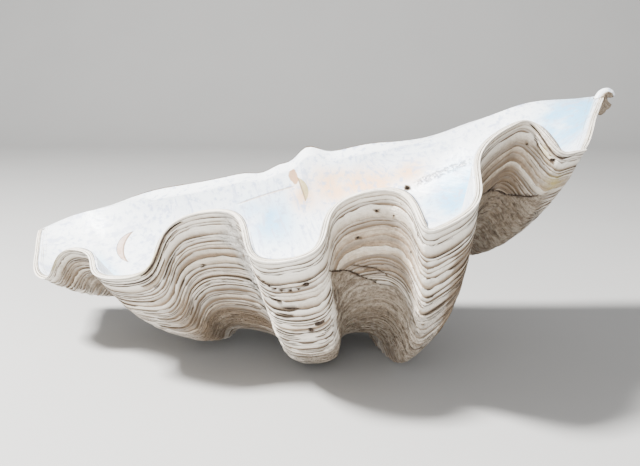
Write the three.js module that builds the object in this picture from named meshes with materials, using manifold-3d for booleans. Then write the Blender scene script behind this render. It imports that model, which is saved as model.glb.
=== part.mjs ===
// One valve of a giant clam, lying on the ribs of its outer side with its hollow upwards.
//
// The valve is one grown piece. It is described the way it grows: its edge is a wavy line, and every
// older edge is that line again, smaller and turned back about the hinge, down to the beak where the
// shell began. The outer surface is the sweep of those edges. The inner surface follows the same rule
// with its own hub, and with the folds filled in by the smooth shell laid down on the inside.
//
// Lengths are in millimetres. The valve's own axes are u along the hinge, v from the hinge to the wavy
// edge, and w out of the hollow. The finished solid stands with +Z up and the wavy edge towards -Y.

import * as THREE from 'three';
import { mergeVertices } from 'three/addons/utils/BufferGeometryUtils.js';
import Module from 'manifold-3d';

// ---- driving dimensions ----

const BEAK_U = -52; // the beak's place along the hinge
const OUTER_TURN = 146; // degrees that the edge has turned about the hinge since the beak
const OUTER_CURL = 1.17; // how evenly that turn is spent over the growth
const FOLD_FADE = 0.17; // how fast the folds' height falls off towards the beak
const YOUNG_UNTIL = 0.6; // share of full size up to which the edge kept its young course
const GROWN_FROM = 0.88; // and from which it kept today's
const LIP = 4.5; // thickness of the edge
const LIP_RISE = 0.6; // the inside of the lip stands this much higher
const HINGE_V = 11; // the inner hub lies this far in front of the hinge line
const HINGE_W = -5; // and this far below it
const INNER_TURN = 98; // degrees that the inside turns from the edge up to the hinge plate
const INNER_CURL = 1.7;
const HINGE_SPREAD = 0.42; // share of the valve's length taken by the plain part of the hinge plate
const SPREAD_POWER = 2.5;
const FILL_LENGTH = 0.45; // share of the growth over which the inside of the folds fills in
const ROLL = 13.4; // degrees that the long end stands up as the valve rests on its ribs
const PITCH = -4.1; // degrees that the wavy edge is tipped up
const YAW = -2.3; // degrees that the valve is turned about the vertical
const FOOT_DEPTH = 3.7; // how far the lowest rib is worn away where it stands

const OUTER_ROWS = 24; // older edges drawn on the outside
const INNER_ROWS = 18; // and on the inside
const STEPS = 5; // straight steps between two stations of the edge

// The edge from the short end of the hinge to the long tip. Tongues are the outer crests of the folds
// and arches lie between them. Each station has its place on the edge, how much further out and up the
// young edge lay there, its place on the filled inside, and how far today's curve and the young one
// run before they bend away.
const EDGE = [
  { name: 'short corner', at: [-212, 0, -8], young: [0, 0], filled: [-208, 3, -6], ease: 0.33, youngEase: 0.33 },
  { name: 'short side', at: [-199, 50, -15], young: [0, 0], filled: [-193, 48, -8], ease: 0.4, youngEase: 0.4 },
  { name: 'tongue 0', at: [-184, 87, -25], young: [0, 0], filled: [-172, 82, -5], ease: 0.62, youngEase: 0.7 },
  { name: 'arch A', at: [-147, 114, -5], young: [9, 2.5], filled: [-146, 110, -2], ease: 0.74, youngEase: 0.75 },
  { name: 'tongue 1', at: [-106, 162, -18], young: [0, 0], filled: [-98, 142, 5], ease: 0.74, youngEase: 0.8 },
  { name: 'arch B', at: [-43, 177, 12], young: [15, 4], filled: [-43, 168, 13], ease: 0.8, youngEase: 0.85 },
  { name: 'tongue 2', at: [-2, 214, -15], young: [0, 0], filled: [4, 182, 14], ease: 0.74, youngEase: 0.85 },
  { name: 'arch C', at: [48, 196, 7], young: [14, 4], filled: [50, 184, 12], ease: 0.74, youngEase: 0.85 },
  { name: 'tongue 3', at: [79, 226, -12.5], young: [5, 0], filled: [84, 176, 12], ease: 0.56, youngEase: 0.8 },
  { name: 'arch D', at: [138.5, 139, 15], young: [1, -5], filled: [125, 122, 13], ease: 0.76, youngEase: 0.75 },
  { name: 'tongue 4', at: [162.5, 144, -8.5], young: [5, 7], filled: [150, 104, 6], ease: 0.62, youngEase: 0.6 },
  { name: 'long shoulder', at: [177, 117, -13], young: [0, 0], filled: [172, 82, -3], ease: 0.4, youngEase: 0.4 },
  { name: 'long side', at: [202, 48, -8], young: [0, 0], filled: [199, 38, -5], ease: 0.33, youngEase: 0.33 },
  { name: 'long tip', at: [220, 0, -5], young: [0, 0], filled: [215, 3, -3], ease: 0.33, youngEase: 0.33 },
];
const EDGE_LEVEL = 0.15; // how much of its slope the edge keeps at a station
const FILLED_EASE = 0.36;

// The hinge plate's top isn't straight: lumps and dips at places along the hinge, u, height and reach.
const HINGE_LUMPS = [
  { u: -118, height: 2, reach: 40 },
  { u: -34, height: -3, reach: 16 },
  { u: 4, height: 8, reach: 17 },
  { u: 88, height: -5, reach: 48 },
  { u: 165, height: 3, reach: 40 },
];
const LUMP_FRONT = 6; // the lumps are full up to here in front of the hinge line
const LUMP_FADE = 26; // and gone this much further on
const LUMP_DEPTH = 45; // they fade out this deep inside the hollow
const LUMP_DEPTH_FADE = 35;

// The long tip ends in a small ear, where the last layers curled up and over. It is a bent finger of
// shell, given by the middles of its rings and their radii.
const EAR = [
  { at: [208, 5, -11], radius: 2.6 },
  { at: [213.5, 3, -6.5], radius: 3.3 },
  { at: [217.5, 1.5, -3], radius: 3.3 },
  { at: [221.5, 0.5, -2.2], radius: 2.9 },
  { at: [224.5, 0, -4], radius: 2.5 },
  { at: [225.6, 0, -7], radius: 2 },
];
const EAR_SIDES = 8;

// ---- small helpers ----

function eased(x) {
  const a = THREE.MathUtils.clamp(x, 0, 1);
  return a * a * (3 - 2 * a);
}

// A smooth line through the stations, as points and the directions it runs in.
function edgeLine(places, eases, level) {
  const points = places.map((p) => new THREE.Vector3(...p));
  const last = points.length - 1;
  const headings = points.map((p, i) => {
    const heading = points[Math.min(i + 1, last)].clone().sub(points[Math.max(i - 1, 0)]);
    heading.z *= level;
    return heading.normalize();
  });
  const line = [];
  for (let i = 0; i < last; i++) {
    const span = Math.hypot(points[i + 1].x - points[i].x, points[i + 1].y - points[i].y);
    const curve = new THREE.CubicBezierCurve3(
      points[i],
      points[i].clone().addScaledVector(headings[i], eases[i] * span),
      points[i + 1].clone().addScaledVector(headings[i + 1], -eases[i + 1] * span),
      points[i + 1],
    );
    const ends = i === last - 1 ? STEPS + 1 : STEPS;
    for (let k = 0; k < ends; k++) {
      line.push({ point: curve.getPoint(k / STEPS), heading: curve.getTangent(k / STEPS) });
    }
  }
  return line;
}

// The lumps of the hinge plate lift or lower what lies close to the hinge line.
function withLumps(p) {
  const ahead = 1 - eased((p.y - LUMP_FRONT) / LUMP_FADE);
  const high = eased((p.z + LUMP_DEPTH) / LUMP_DEPTH_FADE);
  for (const lump of HINGE_LUMPS) {
    p.z += lump.height * eased(1 - Math.abs(p.x - lump.u) / lump.reach) * ahead * high;
  }
  return p;
}

// A point of an older edge: t is 1 at today's edge and 0 at the hub.
function curled(p, t, spiral) {
  const angle = THREE.MathUtils.degToRad(spiral.turn) * (1 - t ** spiral.curl);
  const reach = t + spiral.spread * (1 - t) ** SPREAD_POWER;
  const v = p.y - spiral.hubV;
  const w = (p.z - spiral.hubW) * t ** spiral.fade;
  return withLumps(
    new THREE.Vector3(
      BEAK_U + reach * (p.x - BEAK_U),
      spiral.hubV + t * (v * Math.cos(angle) + w * Math.sin(angle)),
      spiral.hubW + t * (w * Math.cos(angle) - v * Math.sin(angle)),
    ),
  );
}

// ---- the two surfaces, as rows of points from the edge back to the hinge ----

function outerRows() {
  const eases = EDGE.map((s) => s.ease);
  const today = edgeLine(EDGE.map((s) => s.at), eases, EDGE_LEVEL);
  const young = edgeLine(
    EDGE.map((s) => [s.at[0], s.at[1] + s.young[0], s.at[2] + s.young[1]]),
    EDGE.map((s) => s.youngEase),
    EDGE_LEVEL,
  );
  const spiral = { turn: OUTER_TURN, curl: OUTER_CURL, fade: FOLD_FADE, spread: 0, hubV: 0, hubW: 0 };
  const rows = [];
  for (let i = 0; i < OUTER_ROWS; i++) {
    const t = 1 - i / OUTER_ROWS;
    const grown = eased((t - YOUNG_UNTIL) / (GROWN_FROM - YOUNG_UNTIL));
    rows.push(today.map((e, j) => curled(young[j].point.clone().lerp(e.point, grown), t, spiral)));
  }
  return rows;
}

function innerRows() {
  const today = edgeLine(EDGE.map((s) => s.at), EDGE.map((s) => s.ease), EDGE_LEVEL);
  const filled = edgeLine(EDGE.map((s) => s.filled), EDGE.map(() => FILLED_EASE), 1);
  const lip = today.map(({ point, heading }) => {
    const across = Math.hypot(heading.x, heading.y);
    const inwards = new THREE.Vector3(heading.y / across, -heading.x / across, 0);
    return point.clone().addScaledVector(inwards, LIP).add(new THREE.Vector3(0, 0, LIP_RISE));
  });
  const spiral = {
    turn: INNER_TURN,
    curl: INNER_CURL,
    fade: 0,
    spread: HINGE_SPREAD,
    hubV: HINGE_V,
    hubW: HINGE_W,
  };
  const rows = [];
  for (let i = 0; i <= INNER_ROWS; i++) {
    const t = 1 - i / INNER_ROWS;
    const fill = eased((1 - t) / FILL_LENGTH);
    rows.push(lip.map((p, j) => curled(p.clone().lerp(filled[j].point, fill), t, spiral)));
  }
  return rows;
}

// ---- the closed skin ----

// Triangles between two lines of corners that run side by side, matched by how far along they are.
function zip(corners, first, second, triangles) {
  const share = (line) => {
    const far = [0];
    for (let i = 1; i < line.length; i++) {
      far.push(far[i - 1] + corners[line[i]].distanceTo(corners[line[i - 1]]));
    }
    return far.map((d) => d / far[far.length - 1]);
  };
  const a = share(first);
  const b = share(second);
  let i = 0;
  let j = 0;
  while (i < first.length - 1 || j < second.length - 1) {
    const stepFirst = j === second.length - 1 || (i < first.length - 1 && a[i + 1] <= b[j + 1]);
    if (stepFirst) {
      triangles.push([first[i], first[i + 1], second[j]]);
      i++;
    } else {
      triangles.push([first[i], second[j + 1], second[j]]);
      j++;
    }
  }
}

function valveSkin() {
  const outer = outerRows();
  const inner = innerRows();
  const columns = outer[0].length;
  const corners = [...outer.flat(), new THREE.Vector3(BEAK_U, 0, 0), ...inner.flat()];
  const beak = outer.length * columns;
  const onOuter = (i, j) => i * columns + j;
  const onInner = (i, j) => beak + 1 + i * columns + j;
  const triangles = [];
  for (let j = 0; j < columns - 1; j++) {
    for (let i = 0; i < outer.length - 1; i++) {
      triangles.push([onOuter(i, j), onOuter(i + 1, j + 1), onOuter(i, j + 1)]);
      triangles.push([onOuter(i, j), onOuter(i + 1, j), onOuter(i + 1, j + 1)]);
    }
    for (let i = 0; i < inner.length - 1; i++) {
      triangles.push([onInner(i, j), onInner(i, j + 1), onInner(i + 1, j + 1)]);
      triangles.push([onInner(i, j), onInner(i + 1, j + 1), onInner(i + 1, j)]);
    }
    triangles.push([onOuter(outer.length - 1, j), beak, onOuter(outer.length - 1, j + 1)]);
    triangles.push([onOuter(0, j), onOuter(0, j + 1), onInner(0, j + 1)]);
    triangles.push([onOuter(0, j), onInner(0, j + 1), onInner(0, j)]);
  }
  // The hinge plate joins the outer surface's straight border, through the beak, to the inner one's.
  const ends = columns - 1;
  const hinge = inner.length - 1;
  const outside = [
    ...outer.map((row, i) => onOuter(i, ends)),
    beak,
    ...outer.map((row, i) => onOuter(outer.length - 1 - i, 0)),
  ];
  const inside = [
    ...inner.map((row, i) => onInner(i, ends)),
    ...inner[hinge].slice(1, -1).map((p, j) => onInner(hinge, ends - 1 - j)),
    ...inner.map((row, i) => onInner(hinge - i, 0)),
  ];
  zip(corners, outside, inside, triangles);
  return { corners, triangles };
}

// The ear's rings all face along its path, and a fan of triangles closes each end.
function earSkin() {
  const middles = EAR.map((ring) => new THREE.Vector3(...ring.at));
  const last = EAR.length - 1;
  const corners = [middles[0], middles[last]];
  const forwards = new THREE.Vector3(0, 1, 0);
  middles.forEach((middle, i) => {
    const along = middles[Math.min(i + 1, last)].clone().sub(middles[Math.max(i - 1, 0)]).normalize();
    const up = new THREE.Vector3().crossVectors(along, forwards).normalize();
    for (let k = 0; k < EAR_SIDES; k++) {
      const turn = (2 * Math.PI * k) / EAR_SIDES;
      corners.push(
        middle
          .clone()
          .addScaledVector(forwards, EAR[i].radius * Math.cos(turn))
          .addScaledVector(up, EAR[i].radius * Math.sin(turn)),
      );
    }
  });
  const onRing = (i, k) => 2 + i * EAR_SIDES + (k % EAR_SIDES);
  const triangles = [];
  for (let k = 0; k < EAR_SIDES; k++) {
    triangles.push([0, onRing(0, k), onRing(0, k + 1)]);
    triangles.push([1, onRing(last, k + 1), onRing(last, k)]);
    for (let i = 0; i < last; i++) {
      triangles.push([onRing(i, k), onRing(i + 1, k + 1), onRing(i, k + 1)]);
      triangles.push([onRing(i, k), onRing(i + 1, k), onRing(i + 1, k + 1)]);
    }
  }
  return { corners, triangles };
}

// ---- standing the valve on its ribs ----

function standingMatrix() {
  const roll = new THREE.Matrix4().makeRotationY(THREE.MathUtils.degToRad(-ROLL));
  const pitch = new THREE.Matrix4().makeRotationX(THREE.MathUtils.degToRad(-PITCH));
  const yaw = new THREE.Matrix4().makeRotationZ(THREE.MathUtils.degToRad(YAW));
  const hingeBehind = new THREE.Matrix4().makeScale(1, -1, 1);
  return yaw.multiply(pitch).multiply(roll).multiply(hingeBehind);
}

function skinGeometry({ corners, triangles }) {
  const standing = standingMatrix();
  const positions = corners.flatMap((p) => p.clone().applyMatrix4(standing).toArray());
  const geometry = new THREE.BufferGeometry();
  geometry.setAttribute('position', new THREE.Float32BufferAttribute(positions, 3));
  geometry.setIndex(triangles.flat());
  return geometry;
}

const wasm = await Module();
wasm.setup();

function solidOf(geometry) {
  const bare = geometry.clone();
  bare.deleteAttribute('normal');
  bare.deleteAttribute('uv');
  const merged = mergeVertices(bare);
  const mesh = new wasm.Mesh({
    numProp: 3,
    vertProperties: merged.attributes.position.array,
    triVerts: new Uint32Array(merged.index.array),
  });
  return new wasm.Manifold(mesh);
}

function geometryOf(solid) {
  const mesh = solid.getMesh();
  const geometry = new THREE.BufferGeometry();
  geometry.setAttribute('position', new THREE.BufferAttribute(mesh.vertProperties, 3));
  geometry.setIndex(new THREE.BufferAttribute(mesh.triVerts, 1));
  return geometry;
}

// The valve and its ear are one grown solid. The ribs that carry it are worn flat where they stand, so
// the ground plane cuts them off.
function grownAndWorn() {
  const whole = solidOf(skinGeometry(valveSkin())).add(solidOf(skinGeometry(earSkin())));
  const geometry = geometryOf(whole);
  const size = new THREE.Box3().setFromBufferAttribute(geometry.attributes.position);
  const reach = 2 * Math.max(...size.max.toArray().map(Math.abs), ...size.min.toArray().map(Math.abs));
  const ground = new THREE.BoxGeometry(2 * reach, 2 * reach, reach);
  ground.translate(0, 0, size.min.z + FOOT_DEPTH - reach / 2);
  const worn = geometryOf(whole.subtract(solidOf(ground)));
  worn.translate(0, 0, -size.min.z - FOOT_DEPTH);
  return worn;
}

function centredOnGround(geometry) {
  geometry.computeBoundingBox();
  const middle = geometry.boundingBox.getCenter(new THREE.Vector3());
  geometry.translate(-middle.x, -middle.y, 0);
  geometry.computeVertexNormals();
  return geometry;
}

const shell = new THREE.MeshStandardMaterial({ color: 0xdccfbd, roughness: 0.62, metalness: 0 });
const valve = new THREE.Mesh(centredOnGround(grownAndWorn()), shell);
valve.name = 'valve';

const clamShell = new THREE.Group();
clamShell.add(valve);

export default clamShell;
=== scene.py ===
# %% [markdown]
# # One valve of a giant clam
#
# A clam shell is one grown piece, so it is one mesh here. The animal only ever adds shell at the wavy
# edge, and every older edge is still there as a line on the outside. The mesh is built the same way: a
# wavy edge is drawn once, and its older, smaller, turned-back copies become the rows of the mesh.
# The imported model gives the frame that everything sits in, and it comes first.

# %% Load the frame
import math

import bmesh
import bpy
import numpy as np
from mathutils import Matrix, Vector


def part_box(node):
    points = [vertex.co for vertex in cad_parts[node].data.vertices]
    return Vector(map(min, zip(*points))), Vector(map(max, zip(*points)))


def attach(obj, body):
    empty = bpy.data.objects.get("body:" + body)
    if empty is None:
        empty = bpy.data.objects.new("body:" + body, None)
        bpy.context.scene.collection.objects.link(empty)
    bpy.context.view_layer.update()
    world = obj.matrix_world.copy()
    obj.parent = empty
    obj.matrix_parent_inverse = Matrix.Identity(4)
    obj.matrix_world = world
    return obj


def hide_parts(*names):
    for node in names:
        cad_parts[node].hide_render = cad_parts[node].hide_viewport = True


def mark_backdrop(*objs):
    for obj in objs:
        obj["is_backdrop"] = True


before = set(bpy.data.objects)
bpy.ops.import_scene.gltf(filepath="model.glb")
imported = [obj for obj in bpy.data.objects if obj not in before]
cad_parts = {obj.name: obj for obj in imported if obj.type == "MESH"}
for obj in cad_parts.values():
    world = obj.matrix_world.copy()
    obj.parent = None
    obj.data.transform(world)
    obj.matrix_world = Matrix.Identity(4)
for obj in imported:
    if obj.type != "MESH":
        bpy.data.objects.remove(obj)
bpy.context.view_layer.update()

valve_low, valve_high = (np.array(corner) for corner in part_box("valve"))
print("the solid's box, metres:", valve_low.round(4), valve_high.round(4))

# %% [markdown]
# ## The wavy edge
#
# The edge swings between tongues, which stick out as ribs, and arches, which are the valleys between
# them. A subdivision cage could be pulled into such waves, but it would lose the growth lines. A chain
# of Bezier curves through named stations keeps every tongue and arch where it belongs, and also says
# how the edge ran when the shell was young and how the inside was filled in later.
#
# Lengths are in millimetres: u along the hinge, v from the hinge to the edge, w out of the hollow.

# %% Stations of the edge
# name, place today, how much further out and up it was when young, place on the filled inside,
# how far today's and the young curve run straight on, and the mesh columns up to the next station
STATIONS = [
    ("short corner", (-212, 0, -8), (0, 0), (-208, 3, -6), 0.33, 0.33, 8),
    ("short side", (-199, 50, -15), (0, 0), (-193, 48, -8), 0.4, 0.4, 12),
    ("tongue 0", (-184, 87, -25), (0, 0), (-172, 82, -5), 0.62, 0.7, 24),
    ("arch A", (-147, 114, -5), (9, 2.5), (-146, 110, -2), 0.74, 0.75, 30),
    ("tongue 1", (-106, 162, -18), (0, 0), (-98, 142, 5), 0.74, 0.8, 36),
    ("arch B", (-43, 177, 12), (15, 4), (-43, 168, 13), 0.8, 0.85, 38),
    ("tongue 2", (-2, 214, -15), (0, 0), (4, 182, 14), 0.74, 0.85, 38),
    ("arch C", (48, 196, 7), (14, 4), (50, 184, 12), 0.74, 0.85, 34),
    ("tongue 3", (79, 226, -12.5), (5, 0), (84, 176, 12), 0.56, 0.8, 44),
    ("arch D", (138.5, 139, 15), (1, -5), (125, 122, 13), 0.76, 0.75, 24),
    ("tongue 4", (162.5, 144, -8.5), (5, 7), (150, 104, 6), 0.62, 0.6, 12),
    ("long shoulder", (177, 117, -13), (0, 0), (172, 82, -3), 0.4, 0.4, 16),
    ("long side", (202, 48, -8), (0, 0), (199, 38, -5), 0.33, 0.33, 12),
    ("long tip", (220, 0, -5), (0, 0), (215, 3, -3), 0.33, 0.33, 0),
]
COLUMN_STEPS = [station[6] for station in STATIONS[:-1]]
LAST_STATION = len(STATIONS) - 1
print(len(STATIONS), "stations and", sum(COLUMN_STEPS), "columns")


# %% A smooth line through stations
def eased(x):
    """A step from 0 to 1 with soft ends."""
    x = np.clip(x, 0, 1)
    return x * x * (3 - 2 * x)


def reach_along(line):
    """How far along a line each of its points lies."""
    return np.concatenate([[0], np.cumsum(np.linalg.norm(np.diff(line, axis=0), axis=1))])


def edge_line(places, eases, level, steps):
    """Points along the chain of curves through the places, and the directions it runs in."""
    places = np.array(places, float)
    headings = np.vstack([places[1:], places[-1:]]) - np.vstack([places[:1], places[:-1]])
    headings[:, 2] *= level
    headings /= np.linalg.norm(headings, axis=1, keepdims=True)
    points, runs = [], []
    for i, count in enumerate(steps):
        span = np.linalg.norm((places[i + 1] - places[i])[:2])
        a, d = places[i], places[i + 1]
        b, c = a + headings[i] * eases[i] * span, d - headings[i + 1] * eases[i + 1] * span
        k = (np.arange(count + (i == len(steps) - 1)) / count)[:, None]
        points.append((1 - k) ** 3 * a + 3 * (1 - k) ** 2 * k * b + 3 * (1 - k) * k**2 * c + k**3 * d)
        runs.append((1 - k) ** 2 * (b - a) + 2 * (1 - k) * k * (c - b) + k**2 * (d - c))
    return np.concatenate(points), np.concatenate(runs)


EDGE_LEVEL = 0.15  # how much of its slope the edge keeps at a station
FILLED_EASE = 0.36  # how far the filled inside runs straight on at every station
LIP, LIP_RISE = 4.5, 0.6  # thickness of the edge, and how much higher its inside stands


def edge_lines(steps):
    """Today's edge, the young edge, the inside of the lip and the filled inside, at the same columns."""
    at = np.array([s[1] for s in STATIONS], float)
    young = at + [(0, *s[2]) for s in STATIONS]
    today, run = edge_line(at, [s[4] for s in STATIONS], EDGE_LEVEL, steps)
    run = run[:, :2] / np.linalg.norm(run[:, :2], axis=1, keepdims=True)
    inwards = np.column_stack([run[:, 1] * LIP, -run[:, 0] * LIP, np.full(len(run), LIP_RISE)])
    return {
        "today": today,
        "young": edge_line(young, [s[5] for s in STATIONS], EDGE_LEVEL, steps)[0],
        "lip": today + inwards,
        "filled": edge_line([s[3] for s in STATIONS], [FILLED_EASE] * len(STATIONS), 1, steps)[0],
        "station": np.concatenate([i + np.arange(n) / n for i, n in enumerate(steps)] + [[len(steps)]]),
    }


def relaxed(line, reach=4):
    """A line with its sharp corners eased: the inner rim of a tight tongue would otherwise fold over."""
    weights = np.hanning(2 * reach + 3)[1:-1]
    padded = np.vstack([line[:1]] * reach + [line] + [line[-1:]] * reach)
    calm = sum(w * padded[i:i + len(line)] for i, w in enumerate(weights)) / weights.sum()
    calm[:reach], calm[-reach:] = line[:reach], line[-reach:]
    return calm


lines = edge_lines(COLUMN_STEPS)
lines["lip"] = relaxed(lines["lip"])
print("the edge is", round(reach_along(lines["today"])[-1]), "mm long")

# %% [markdown]
# ## The spiral
#
# An older edge is today's edge made smaller about the beak and turned back about the hinge. t is its
# size as a share of today's. The outside and the inside follow the same rule with different hubs, and
# each point may have its own t, which lets a growth line wander a little, as real ones do.

# %% From the edge to the two surfaces
BEAK_U = -52.0
YOUNG_UNTIL, GROWN_FROM = 0.6, 0.88  # t between which the young edge turns into today's
OUTER = {"turn": 146, "curl": 1.17, "fade": 0.17, "spread": 0.0, "hub": (0.0, 0.0)}
INNER = {"turn": 98, "curl": 1.7, "fade": 0.0, "spread": 0.42, "hub": (11.0, -5.0)}
SPREAD_POWER, FILL_LENGTH = 2.5, 0.45
HINGE_LUMPS = [(-118, 2, 40), (-34, -3, 16), (4, 8, 17), (88, -5, 48), (165, 3, 40)]  # u, height, reach
LUMP_FRONT, LUMP_FADE, LUMP_DEPTH, LUMP_DEPTH_FADE = 6, 26, 45, 35  # where they fade out, mm


def curled(edge, t, spiral):
    """Points of the older edges: t has a row for every older edge and a column for every point of it."""
    angle = np.radians(spiral["turn"]) * (1 - t ** spiral["curl"])
    reach = t + spiral["spread"] * (1 - t) ** SPREAD_POWER
    v = edge[..., 1] - spiral["hub"][0]
    w = (edge[..., 2] - spiral["hub"][1]) * t ** spiral["fade"]
    u = BEAK_U + reach * (edge[..., 0] - BEAK_U)
    v, w = (
        spiral["hub"][0] + t * (v * np.cos(angle) + w * np.sin(angle)),
        spiral["hub"][1] + t * (w * np.cos(angle) - v * np.sin(angle)),
    )
    near_hinge = (1 - eased((v - LUMP_FRONT) / LUMP_FADE)) * eased((w + LUMP_DEPTH) / LUMP_DEPTH_FADE)
    lumps = sum(height * eased(1 - abs(u - at) / reach) for at, height, reach in HINGE_LUMPS)
    return np.stack([u, v, w + lumps * near_hinge], -1)


def outside(t, lines):
    """Points of the outer surface."""
    grown = eased((t - YOUNG_UNTIL) / (GROWN_FROM - YOUNG_UNTIL))[..., None]
    return curled(lines["young"] * (1 - grown) + lines["today"] * grown, t, OUTER)


def inside(t, lines):
    """Points of the inner surface, with the folds filled in away from the lip."""
    fill = eased((1 - t) / FILL_LENGTH)[..., None]
    return curled(lines["lip"] * (1 - fill) + lines["filled"] * fill, t, INNER)


NUDGE = 0.002  # a small step of t, to find which way a surface runs


def facing(surface, t, lines):
    """Unit vectors square to a surface, out of the solid on the outside and into it on the inside."""
    across = np.gradient(surface(t, lines), axis=1)
    along = surface(np.clip(t - NUDGE, 0, 1), lines) - surface(np.clip(t + NUDGE, 0, 1), lines)
    square = np.cross(across, along)
    return square / (np.linalg.norm(square, axis=-1, keepdims=True) + 1e-9)


# %% [markdown]
# ## Standing on its ribs
#
# The valve lies on the crests of two ribs, with its long end raised. A turn about each axis stands it
# up, and matching the boxes of this surface and of the solid gives the shift between the two.

# %% Stand the valve up
ROLL, PITCH, YAW, FOOT_DEPTH = 13.4, -4.1, -2.3, 3.7
SNUG = 0.9984  # keeps the finely curved surface within the box of the faceted solid
STANDING = (
    Matrix.Rotation(math.radians(YAW), 3, "Z")
    @ Matrix.Rotation(math.radians(-PITCH), 3, "X")
    @ Matrix.Rotation(math.radians(-ROLL), 3, "Y")
    @ Matrix.Diagonal((1, -1, 1))
)
EAR = [  # middles of the ear's rings at the long tip, and their radii
    ((208, 5, -11), 2.6), ((213.5, 3, -6.5), 3.3), ((217.5, 1.5, -3), 3.3),
    ((221.5, 0.5, -2.2), 2.9), ((224.5, 0, -4), 2.5), ((225.6, 0, -7), 2.0),
]
plain_outside = outside(np.repeat(np.linspace(1, 0.02, 120)[:, None], len(lines["today"]), 1), lines)
plain_inside = inside(np.repeat(np.linspace(1, 0, 60)[:, None], len(lines["today"]), 1), lines)
ear_reach = np.array([np.array(at) + (0.97 * radius, 0, 0) for at, radius in EAR])
plain = np.vstack([plain_outside.reshape(-1, 3), plain_inside.reshape(-1, 3), ear_reach])
stood = plain @ np.array(STANDING).T * SNUG
middle = (stood.min(0) + stood.max(0)) / 2
SEAT = np.array([-middle[0], -middle[1], -stood[:, 2].min() - FOOT_DEPTH])
SEAT[:2] += (valve_low + valve_high)[:2] / 2 * 1000


def stand(points):
    """Points of the valve's own axes, in millimetres, as metres of the shared frame."""
    placed = points @ np.array(STANDING).T * SNUG + SEAT
    placed[..., 2] = np.maximum(placed[..., 2], 0)  # worn flat where it stands
    return placed / 1000


smooth_box = stand(plain)
print("seat, mm:", SEAT.round(2), " box:", smooth_box.min(0).round(4), smooth_box.max(0).round(4))

# %% [markdown]
# ## Growth layers
#
# Each layer slopes like a roof shingle and ends in a free edge that faces the wavy margin, a step above
# the younger layer. A displacement modifier would smear such steps, so the mesh rows are placed on the
# layers themselves: one row for every free edge, one for the foot under it, and two on the slope
# between. All relief goes inwards from the smooth surface, so the valve never outgrows its solid.

# %% Smooth random patches
def patches(a, b, seed):
    """A smooth random value from -1 to 1 that changes over about one unit of a and of b."""
    a, b = np.broadcast_arrays(np.asarray(a, float), np.asarray(b, float))
    whole_a, whole_b = np.floor(a), np.floor(b)
    share_a, share_b = eased(a - whole_a), eased(b - whole_b)

    def corner(i, j):
        mixed = np.sin(i * 127.1 + j * 311.7 + seed * 74.7) * 43758.5453
        return 2 * (mixed - np.floor(mixed)) - 1

    low = corner(whole_a, whole_b) * (1 - share_a) + corner(whole_a + 1, whole_b) * share_a
    high = corner(whole_a, whole_b + 1) * (1 - share_a) + corner(whole_a + 1, whole_b + 1) * share_a
    return low * (1 - share_b) + high * share_b


def hill(x, middle, reach):
    """1 at the middle, falling softly to 0 at its reach on either side."""
    return eased(1 - abs(x - middle) / reach)


# %% The growth layers, from today's edge back to the beak
chance = np.random.default_rng(11)
FINE_UNTIL, WORN_UNTIL = 0.74, 0.25  # t where the fine layers end, and where all layers are worn away
THICK_KINDS = [(0.45, 0.0027, 0.0045), (0.8, 0.005, 0.0085), (1.0, 0.0095, 0.014)]  # chance up to, from, to
COARSE_LAYER = (0.011, 0.021)  # thinnest and thickest
layer_at = [1.0]
while layer_at[-1] > FINE_UNTIL:
    kind = chance.random()
    thinnest, thickest = next((a, b) for up_to, a, b in THICK_KINDS if kind <= up_to)
    layer_at.append(layer_at[-1] - chance.uniform(thinnest, thickest))
layer_at[-1] = FINE_UNTIL
fine_layers = len(layer_at) - 1
while layer_at[-1] > WORN_UNTIL:
    layer_at.append(layer_at[-1] - chance.uniform(*COARSE_LAYER))
layer_at = np.array(layer_at)
thickness = np.append(-np.diff(layer_at), 0.01)
layer_step = 0.45 + 105 * np.minimum(thickness, 0.012) + 0.9 * chance.random(len(layer_at)) ** 2  # height, mm
layer_tone = chance.random(len(layer_at))
OVERHANG = 0.001  # how far a free edge reaches over the foot below it, as a share of growth

# Each row: its t, its place in the count of layers, and its share of the step below its own free edge.
rows = []
for k in range(len(layer_at) - 1):
    top, thick = layer_at[k], layer_at[k] - layer_at[k + 1]
    rows.append((top + (OVERHANG if k else 0), k, 0.0))
    rows.append((top - 0.2 * thick, k + 0.2, 0.1))
    if k < fine_layers:
        rows.append((top - 0.6 * thick, k + 0.6, 0.5))
    rows.append((layer_at[k + 1] + 0.0002, k + 0.99, 1.0))
last = len(layer_at) - 1
rows += [(t, last + i, 0.3) for i, t in enumerate(np.linspace(layer_at[-1], 0.02, 15))]
row_t, row_layer, row_sink = (np.array(column) for column in zip(*rows))
fine_rows = int((row_layer < fine_layers).sum())
print(len(layer_at), "layers,", len(rows), "rows,", fine_rows, "of them fine")

# %% [markdown]
# ## Relief of the outside
#
# The layers are tight and scaly on the undersides of the ribs and calmer in the valleys. Now and then
# growth stopped and started again further out, which left a ledge: a bold one across each of the two
# valleys on the right, and two faint ones further left. One flank of the middle rib carries a rough crust.
# Each of these is a depth in millimetres, as a function of the station along the edge and of t, and they
# add up.

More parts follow.
